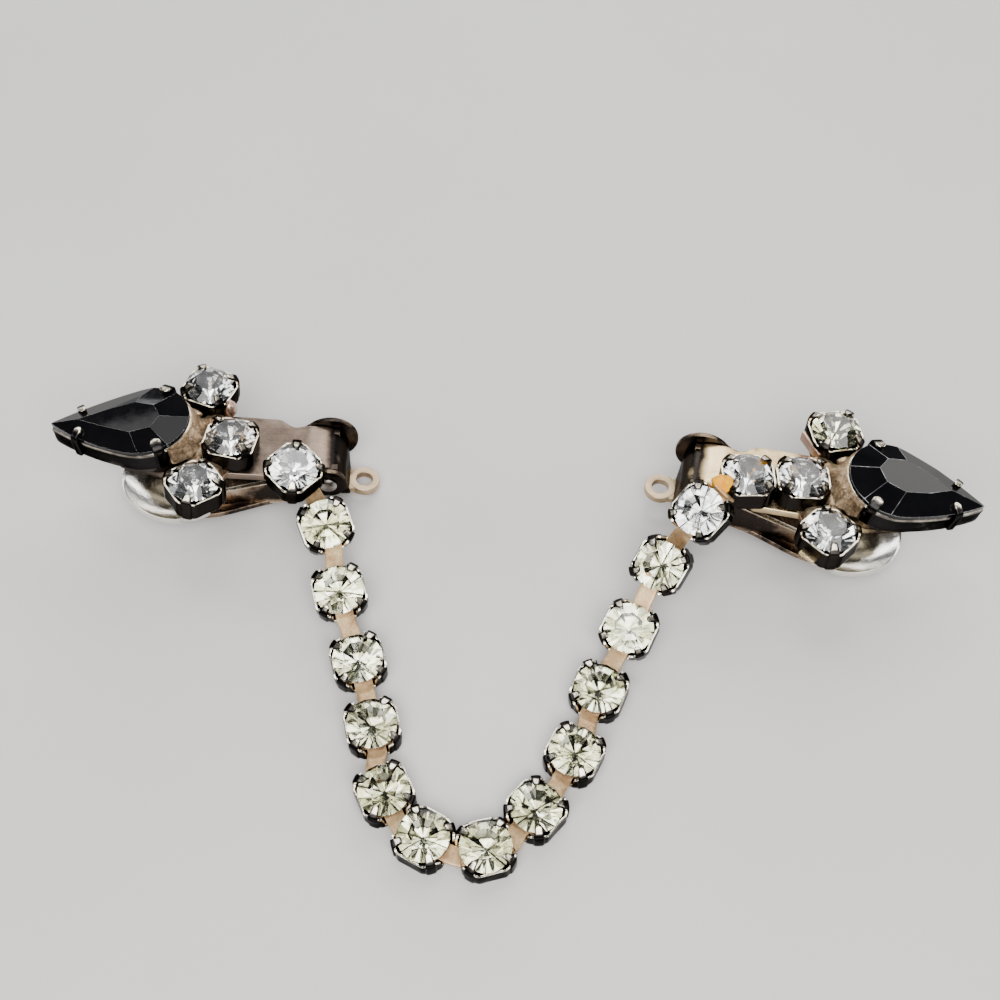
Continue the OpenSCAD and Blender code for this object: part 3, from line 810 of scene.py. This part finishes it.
def plate_path():
    """The plate from its outboard nose to the foot of its rolled end, as strip takes it."""
    slope = rad(NOSE_SLOPE)
    along = Vector((math.cos(slope), 0, -math.sin(slope)))
    nose_up = Vector((math.sin(slope), 0, math.cos(slope)))
    path = []
    for u, front, back in ((8.2, -0.9, 0.2), (8.12, -1.2, 0.45), (7.9, -1.6, 0.8), (7.4, -2.2, 1.4),
                           (6.2, -2.7, 1.95), (5.0, -3.15, 2.45), (3.9, -3.6, 2.85), (3.4, -3.74, 3.02),
                           (2.4, -3.8, 3.2), (1.2, -3.8, 3.35)):
        path.append((Vector((NOSE_X, 0, 0)) + along * u, nose_up, ACROSS, front, back, PLATE_T))
    path.append((Vector((NOSE_X + 0.02, 0, 0)), (UP + nose_up).normalized(), ACROSS, PLATE_FRONT, PLATE_BACK,
                 PLATE_T))
    for x in (14.4, 13.0, 11.5, 10.2, 9.2):
        path.append((Vector((x, 0, 0)), UP, ACROSS, PLATE_FRONT, PLATE_BACK, PLATE_T))
    for x in (8.7, 8.45, 8.2, 7.9, 7.6, 7.3, 7.0, 6.7, 6.4, 6.0, 5.6, 5.2, 4.8, 4.42):
        grow = smooth((x - WAIST_X) / 1.7)
        dip = 0.38 * math.exp(-((x - WAIST_X) / 0.9) ** 2)
        path.append((Vector((x, 0, 0)), UP, ACROSS, mix(NECK_FRONT, PLATE_FRONT, grow) + dip,
                     mix(NECK_BACK, PLATE_BACK, grow) - dip, mix(NECK_T, PLATE_T, grow)))
    for i in range(1, 17):
        a = rad(90 * i / 16)
        p = Vector((ROLL_X - ROLL_R * math.sin(a), 0, -ROLL_R + ROLL_R * math.cos(a)))
        path.append((p, Vector((-math.sin(a), 0, math.cos(a))), ACROSS, NECK_FRONT, NECK_BACK, NECK_T))
    inboard = Vector((-0.99, 0, 0.12)).normalized()
    for f in (0.06, 0.2, 0.35, 0.5, 0.65, 0.8, 0.9, 1.0):
        narrow = smooth(f * 1.15)
        path.append((Vector((mix(1.69, 1.28, f), 0, mix(-2.75, -4.75, f))), inboard, ACROSS,
                     mix(NECK_FRONT, -1.45, narrow), mix(NECK_BACK, 1.45, narrow), mix(NECK_T, 0.9, f)))
    return path


def plate_wear_and_light(p):
    """Bright on the edges, from rubbing, and a painted highlight along the start of the roll; painted shade
    on the end wall, which faces away from the light, with a painted highlight spot on it.
    """
    wear_and_light = 0.6
    if p.x < 5.2:
        # painted shade on the end wall, below x = 3, and a painted highlight from there along the start of
        # the roll
        wear_and_light = mix(0.02, 0.9, smooth(p.x - 3.0))
        # a painted highlight spot on the end wall, where a dimple catches the light
        wear_and_light += 0.6 * math.exp(-((p.y + 0.6) / 0.6) ** 2 - ((p.x - 2.6) / 0.22) ** 2)
    if p.z < -0.6 and p.x > 4.5:
        wear_and_light = 0.3
    front, back = (PLATE_FRONT, PLATE_BACK) if p.x > 8.6 else (NECK_FRONT, NECK_BACK)
    from_edge = min(abs(p.y - front), abs(p.y - back))
    return wear_and_light + 0.3 * (1 - smooth(from_edge / 0.3))


def lugs():
    """The two lugs under the plate that hold the pin."""
    x, z = PIN
    line = arc(x, z, 1.2, 180, 360, 16) + [(x + 1.2, -0.3), (x - 0.8, -0.3), (x - 0.8, z)]
    shape = Shape()
    for y in (2.79, -1.61):
        shape.join(slab(line, 0, 0.6, 0.06, wear_and_light=0.3), move(0, y, 0) @ rot("X", 90))
    return shape


def plate_shape():
    shape = strip(plate_path(), 0.12, 10)
    shape.wear_and_light = [plate_wear_and_light(p) for p in shape.points]
    return shape.rough(0.035, 2.2, 3).join(lugs())


def tab_shape():
    """The tab with its eye, and the neck that joins it to the plate's end wall."""
    r, steps = 0.07, 3
    profile = (arc(TAB_R - r, TAB_TOP - r, r, 90, 0, steps) + arc(TAB_R - r, TAB_LOW + r, r, 0, -90, steps)
               + arc(EYE_R + r, TAB_LOW + r, r, -90, -180, steps)
               + arc(EYE_R + r, TAB_TOP - r, r, 180, 90, steps))
    wear_and_light = [0.95] * 4 + [0.7] * 4 + [0.4] * 4 + [0.6, 0.7, 0.8, 0.9]
    rings = turned(profile, 40)
    shape = loft(rings + rings[:1], caps=False, wear_and_light=wear_and_light + wear_and_light[:1])
    neck = [(0.9, -1.25), (1.9, -1.3), (1.9, 1.3), (0.9, 1.25)]
    shape.join(slab(neck, TAB_LOW + 0.02, TAB_TOP - 0.02, 0.12, wear_and_light=0.8))
    return shape.rough(0.03, 1.4, 5)


# Cross straps and solder

# the lumps of solder on both clips: middle and half sizes
SOLDER = (
    ((14.3, SET_Y + 3.0, 0.35), (1.25, 1.15, 0.75)),
    ((14.3, SET_Y - 2.8, 0.3), (1.25, 1.1, 0.75)),
    ((15.6, SET_Y + 0.3, 0.45), (0.9, 3.3, 0.85)),
    ((16.5, SET_Y - 3.9, 0.4), (0.9, 0.9, 0.6)),
    ((16.4, SET_Y + 4.4, 0.4), (0.9, 0.9, 0.6)),
    ((15.5, SET_Y + 2.0, 1.0), (0.55, 0.6, 0.55)),
    ((15.4, SET_Y - 2.3, 0.95), (0.6, 0.5, 0.55)),
    ((15.35, SET_Y - 0.2, 1.2), (0.4, 0.45, 0.4)),
)


def fillet(seed):
    """Solder drawn up the round end of the pear setting."""
    rows = ((-0.1, -0.34), (0.05, -0.28), (0.16, -0.45), (0.28, -0.95), (0.42, -1.6), (0.8, -2.25),
            (-0.1, -2.3))
    steps = 40
    rings = []
    for i in range(steps + 1):
        f = i / steps
        fade = math.sin(math.pi * f) ** 0.5
        ring = []
        for out, z in rows:
            lumpy = 1 + 0.9 * noise.noise(Vector((f * 12, z * 2.2, seed)))
            x, y = polar(PEAR_R + (out * fade * lumpy if out > 0 else out), mix(126, 236, f))
            ring.append((PEAR_R + x, y, z + 0.12 * (1 - fade)))
        rings.append(ring)
    return loft(rings).rough(0.11, 0.6, seed)


def joint_shapes(side):
    """Cross straps under the settings and the solder that holds everything. Material 1 is copper."""
    shape = Shape().join(fillet(CLIPS[side]["fillet_seed"]), PEAR_AT)
    strap = slab([(0, -1.1), (6.2, -1.1), (6.2, 1.1), (0, 1.1)], -0.42, 0.13, wear_and_light=0.45)
    for key in ("back", "front"):
        x, y = CUPS[key][:2]
        turn = math.degrees(math.atan2(y - SET_Y, x - CROSS_X))
        shape.join(strap, move(CROSS_X, SET_Y, 0) @ rot("Z", turn))
    for i, (middle, size) in enumerate(SOLDER):
        shape.join(blob(middle, size, i + 1, 0.22, 0.62))
    if side == "left":
        x, y = CLIPS[side]["end"][:2]
        shape.join(blob((x, y + 1.2, -0.2), (1.1, 0.8, 0.45), 11, 0.25, 0.6))
        shape.join(blob((13.1, SET_Y + 4.3, 1.15), (0.6, 0.75, 1.05), 14, 0.3, 0.8), material=1)
    else:
        shape.join(blob((10.15, SET_Y - 0.4, 0.75), (0.45, 0.8, 0.8), 12, 0.25, 0.6))
    return shape


# Lever, spoon and pin

EARS = ((1, 2.95, 2.6), (-1, 2.35, 1.75))  # the lever's two: side, where its inner face is and its radius
WALL_T = 0.5  # the thickness of the ears and walls
PIN_R = 0.55
SPOON_X, SPOON_Y, SPOON_Z = 17.9, -0.5, -7.3  # the middle of the spoon's underside
SPOON_R, SPOON_T, BOWL_R = 5.3, 0.6, 9.0  # its reach, its thickness and the radius of its dished underside


def wall_line(r):
    """Side wall of the lever with its ear, in (x, z), counter-clockwise."""
    x, z = PIN
    start = math.degrees(math.asin((r - 0.6) / r)) * 0.92
    return arc(x, z, r, start, 262, 30) + [(x + 0.8, z - r - 0.06), (8, -5.2), (14.4, -5.72), (14.35, -5.2),
                                           (13.4, -3.95), (6.4, -1.22)]


def lever_floor():
    """The channel's floor between the walls, rising toward the hinge."""
    up = Vector((0.16, 0, 1)).normalized()
    steps = 10
    path = []
    for i in range(steps + 1):
        f = i / steps
        p = Vector((mix(6.9, 15.4, f), 0, mix(-4.62, -6.02, smooth(f) * 0.3 + f * 0.7)))
        path.append((p, up, ACROSS, mix(-2.6, -4.2, smooth(f)), mix(3.1, 4.2, smooth(f)), 0.55))
    shape = strip(path, 0.1, 8)
    shape.wear_and_light = [0.28 + 0.2 * smooth((p.x - 11) / 4) for p in shape.points]
    return shape


def lever_shape(wall_tone_and_light):
    """The lever's channel with its ears. The walls' value sets the outer faces of its walls: partly their
    own tone and partly painted light, which draws the left clip's walls lighter.
    """
    shape = Shape()
    for side, inner, r in EARS:
        wall = slab(wall_line(r), -WALL_T / 2, WALL_T / 2, edge=0.5)
        for i, p in enumerate(wall.points):
            past_ear = smooth((math.hypot(p.x - PIN[0], p.y - PIN[1]) - r * 1.05) / 1.2)
            face = abs(p.z) > WALL_T / 2 - 0.01
            wall.wear_and_light[i] = mix(-0.3 if face else 0.25, wall_tone_and_light if face else 0.95, past_ear)
        shape.join(wall, move(0, side * (inner + WALL_T / 2), 0) @ rot("X", 90))
    return shape.join(lever_floor()).rough(0.02, 2.5, 9)


def spoon_reach(a):
    """From the spoon's middle to its edge: round, but cut straight toward the lever and beside it."""
    inboard, across = -math.cos(rad(a)), abs(math.sin(rad(a)))
    reach = SPOON_R
    if inboard > 0:
        reach = min(reach, 3.55 / max(1e-6, inboard))
    if inboard > 0.2:
        reach = min(reach, 4.75 / max(1e-6, across))
    return reach


def spoon_ring(share, extra, under):
    """A ring at a share of the reach and extra. under is 0 on the upper face and 1 on the underside."""
    n = 88
    ring = []
    for i in range(n):
        d = spoon_reach(360 * i / n) * share + extra
        x, y = polar(d, 360 * i / n)
        drop = mix(math.sqrt((BOWL_R - SPOON_T) ** 2 - d * d), math.sqrt(BOWL_R ** 2 - d * d), under)
        ring.append((SPOON_X + x, SPOON_Y + y, SPOON_Z + BOWL_R - drop))
    return ring


def spoon_shape():
    """The dished end of the lever, from its middle over its rounded rim to its underside."""
    inner = (0.04, 0.15, 0.3, 0.45, 0.6, 0.72, 0.82, 0.9, 0.95, 0.975)
    rim = [polar(1, a) for a in (20, 50, 90, 130, 160)]
    outer = (0.97, 0.93, 0.85, 0.7, 0.5, 0.3, 0.1)
    rings = [spoon_ring(share, 0, 0) for share in inner]
    rings += [spoon_ring(0.985, 0.075 * out, 0.5 - 0.5 * over) for over, out in rim]
    rings += [spoon_ring(share, 0, 1) for share in outer]
    # painted reflection: dark in the middle of the dish, bright toward its rim
    wear_and_light = [0.95 * smooth((share - 0.5) / 0.3) for share in inner] + [1.0] * len(rim) + [0.6] * len(outer)
    return loft([ring[::-1] for ring in rings], wear_and_light=wear_and_light).rough(0.02, 2.5, 9)


def pin_shape():
    """The hinge pin with its two riveted heads."""
    head = [(0.05, 0.18), (0.45, 0.15), (0.72, 0.06), (0.84, -0.06), (0.82, -0.14), (PIN_R, -0.15)]
    shape = Shape()
    shank = []
    for side, inner, _ in EARS:
        z = -side * (inner + WALL_T + 0.25)
        profile = [(r, z - side * up) for r, up in head][::-side]
        shape.join(loft(turned(profile, 28), wear_and_light=0.6))
        shank.append((PIN_R, z))
    shape.join(loft(turned(shank, 20), wear_and_light=0.3))
    return Shape().join(shape, move(PIN[0], 0, PIN[1]) @ rot("X", 90))


# Straps of the chain

STRAP_W, STRAP_T = 1.7, 0.35
STRAP_FROM = 2.2  # from a setting's middle to where its straps begin


def strap_between(a, b, seed):
    """A rounded strap between two ends given as (point, direction, up)."""
    (pa, da, ua), (pb, db, ub) = a, b
    length = (pb - pa).length
    pull = length * 0.35
    steps = 8
    path = []
    for i in range(steps + 1):
        f = i / steps
        h = 3 * f * f - 2 * f ** 3
        p = pa * (1 - h) + pb * h + da * pull * (f ** 3 - 2 * f * f + f) + db * pull * (f ** 3 - f * f)
        up = (ua * (1 - f) + ub * f).normalized()
        along = (da * (1 - f) + db * f + (pb - pa).normalized()).normalized()
        side = up.cross(along).normalized()
        up = along.cross(side).normalized()
        half = STRAP_W / 2 * (1 + 0.04 * noise.noise(Vector((i, seed, 0.3))))
        path.append((p + up * STRAP_T / 2, up, side, -half, half, STRAP_T))
    return strip(path, 0.1, 6, wear_and_light=0.62)


def strap_end(m, side, r):
    """Where a strap leaves the setting with the frame m, at a radius: point, direction and up."""
    p = m @ Vector((side * r, 0, STRAP_Z))
    d = (m.to_3x3() @ Vector((side, 0, 0))).normalized()
    u = (m.to_3x3() @ UP).normalized()
    return p, d, u


def strap_head(m, side):
    """The wide head of a strap inside the setting with the frame m, and its neck through the slot."""
    line = [(1.45, -1.35), (1.78, -1.35), (1.78, -0.84), (2.3, -0.82),
            (2.3, 0.82), (1.78, 0.84), (1.78, 1.35), (1.45, 1.35)]
    head = slab(line, 0.66, 0.99, 0.05, 2, wear_and_light=0.4)
    return Shape().join(head, m @ rot("Z", 180) if side < 0 else m)


# The clips

def build_clip(side, c):
    m, lever = c["m"], f"{side}_lever"

    def on_frame(name, shape, materials, at=m, angle=38):
        make(f"{side}_{name}", shape, materials, f"{side}_frame", m=at, angle=angle)

    on_frame("plate", plate_shape(), [M[f"plate_{side}"]])
    on_frame("tab", tab_shape(), [M["tab"]])
    on_frame("solder", joint_shapes(side), [M["solder"], M["copper"]], angle=60)
    on_frame("pear_setting", pear_setting(c["pear_seed"]), [M["pear_setting"]], m @ PEAR_AT)
    make(f"{side}_pear", pear_stone(*c["leaf"]), [M["jet"], M[f"{side}_jet_edge"]], f"{side}_pear_stone",
         m=m @ PEAR_AT, flat=True)
    for i, (key, spot) in enumerate(dict(CUPS, end=c["end"]).items()):
        seed = c["cup_seed"] + i
        at = m @ cup_frame(spot)
        look = WARM if (side, key) == ("right", "back") else CLEAR
        seated = at @ seat(c["end_seat"] if key == "end" else seed)
        on_frame(f"{key}_setting", setting(False, seed), [M["setting"]], at)
        make(f"{side}_{key}_brilliant", brilliant(seed), look, f"{side}_{key}_stone", m=seated,
             flat=True)
    for name, shape, look in (("lever_arm", lever_shape(c["wall_tone_and_light"]), "lever"),
                              ("spoon", spoon_shape(), "spoon")):
        make(f"{side}_{name}", shape, [M[look]], lever, body=lever, m=m)
    make(f"{side}_rivet", pin_shape(), [M["pin"]], f"{side}_hinge_pin", m=m)
    for spot in bpy.data.objects[f"{side}_spring"].material_slots:
        spot.material = M["spring"]


def build_remains():
    """What is left of old straps on the right clip, and the lump beside its end setting."""
    m = CLIPS["right"]["m"]
    stub = slab([(2.2, -0.8), (3.05, -0.78), (3.05, 0.8), (2.2, 0.8)], 0.65, 1.0, 0.09, wear_and_light=0.85)
    make("right_front_stub", stub, [M["plate_right"]], "right_frame",
         m=m @ cup_frame(CUPS["front"]) @ rot("Z", 180))
    stub = slab([(2.3, -1.5), (2.66, -1.5), (2.66, 1.5), (2.3, 1.5)], 0.25, 1.45, wear_and_light=0.7)
    make("right_back_stub", stub, [M["copper"]], "right_frame",
         m=m @ cup_frame(CUPS["back"]) @ rot("Z", 195))
    lump = blob((5.5, -3.5, 2.15), (1.08, 0.85, 0.8), 31, 0.34)
    make("right_lump", lump, [M["lump"]], "right_frame", m=m, angle=60)


for side, c in CLIPS.items():
    build_clip(side, c)
build_remains()


# The chain

# the chain stones that are less yellow than the rest, counted from 0 at the left clip
CHAIN_TINTS = {2: PALE, 3: PALE, 10: PALE, 11: PALE, 12: CLEAR}
SETTING_SEED, STONE_SEED = 60, 90


def build_chain(frames):
    straps = Shape()
    for i, m in enumerate(frames):
        make(f"chain_setting_{i + 1:02d}", setting(True, SETTING_SEED + i), [M["chain_setting"]],
             f"chain_cup_{i + 1:02d}", m=m)
        make(f"chain_brilliant_{i + 1:02d}", brilliant(STONE_SEED + i), CHAIN_TINTS.get(i, WARM),
             f"chain_stone_{i + 1:02d}", m=m @ seat(STONE_SEED + i, 3.5), flat=True)
        if i + 1 < len(frames):
            point, back, up = strap_end(frames[i + 1], -1, STRAP_FROM)
            straps.join(strap_between(strap_end(m, 1, STRAP_FROM), (point, -back, up), i))
            straps.join(strap_head(m, 1)).join(strap_head(frames[i + 1], -1))
    make("chain_straps", straps, [M["strap"]], "chain_links")


def build_end_strap(side, c, m, outward_side):
    """The strap from the chain's end setting, with the frame m, to where it is soldered on a clip."""
    start = strap_end(m, outward_side, c["strap_from"])
    foot = Vector(c["strap_foot"]) + SHIFT
    foot_up = (UP + start[2] * 0.3).normalized()
    strap = strap_between(start, (foot, (foot - start[0]).normalized(), foot_up), c["strap_seed"])
    strap.join(strap_head(m, outward_side))
    make(f"{side}_end_strap", strap, [M["strap"]], f"{side}_frame")


frames = [chain_frame(i) for i in range(len(CHAIN))]
build_chain(frames)
build_end_strap("left", CLIPS["left"], frames[0], -1)
build_end_strap("right", CLIPS["right"], frames[-1], 1)


# Floor, lights and camera, in metres

# azimuth and elevation seen from the object, distance, width and height, radiance and colour
LIGHTS = {
    "key": (-92, 57, 0.38, (0.40, 0.25), 7.4, (1.0, 0.985, 0.96)),
    "window": (62, 39.5, 0.42, (0.34, 0.11), 5.3, (1.0, 0.98, 0.95)),
    "glow": (105, 45.3, 0.42, (0.25, 0.158), 2.4, (1, 1, 1)),
    "hair": (92, 66, 0.42, (0.12, 0.05), 12.0, (1, 1, 1)),
    "low": (90, 17.5, 0.46, (0.72, 0.09), 5.5, (0.98, 0.99, 1.0)),
    "top": (-90, 84, 0.42, (0.24, 0.06), 7.0, (1, 1, 1)),
    "left_strip": (178, 24, 0.42, (0.20, 0.09), 5.0, (0.96, 0.98, 1.0)),
    "right_strip": (-4, 24, 0.42, (0.20, 0.09), 5.0, (1.0, 0.97, 0.93)),
}
CAMERA_AT = (Vector((0, -68.6, 118.9)) + SHIFT) * MM
CAMERA_TILT = 30


def build_floor():
    half = 0.6
    mesh = bpy.data.meshes.new("floor")
    corners = [(-half, -half, 0), (half, -half, 0), (half, half, 0), (-half, half, 0)]
    mesh.from_pydata(corners, [], [(0, 1, 2, 3)])
    mesh.materials.append(pale_floor("pale_floor"))
    new_object("floor", mesh)


def softbox(name, azimuth, elevation, distance, size, radiance, colour):
    """A rectangular light that faces the object."""
    light = bpy.data.lights.new(name, "AREA")
    light.shape = "RECTANGLE"
    light.size, light.size_y = size
    light.energy = radiance * math.pi * size[0] * size[1]
    light.color = colour
    ob = new_object(name, light)
    level, height = polar(1, elevation)
    at = Vector((*polar(level, azimuth), height))
    ob.location = at * distance
    ob.rotation_euler = (-at).to_track_quat("-Z", "Y").to_euler()


def build_world():
    world = bpy.data.worlds.new("studio")
    bpy.context.scene.world = world
    world.use_nodes = True
    background = world.node_tree.nodes["Background"]
    background.inputs["Color"].default_value = (0.62, 0.64, 0.67, 1)
    background.inputs["Strength"].default_value = 0.16


def build_camera():
    camera = bpy.data.cameras.new("camera")
    camera.lens = 50.4
    camera.sensor_width = 36
    camera.clip_start = 0.005
    camera.clip_end = 5
    ob = new_object("camera", camera)
    ob.location = CAMERA_AT
    ob.rotation_euler = (rad(CAMERA_TILT), 0, 0)
    bpy.context.scene.camera = ob


build_floor()
for name, look in LIGHTS.items():
    softbox(name, *look)
build_world()
build_camera()
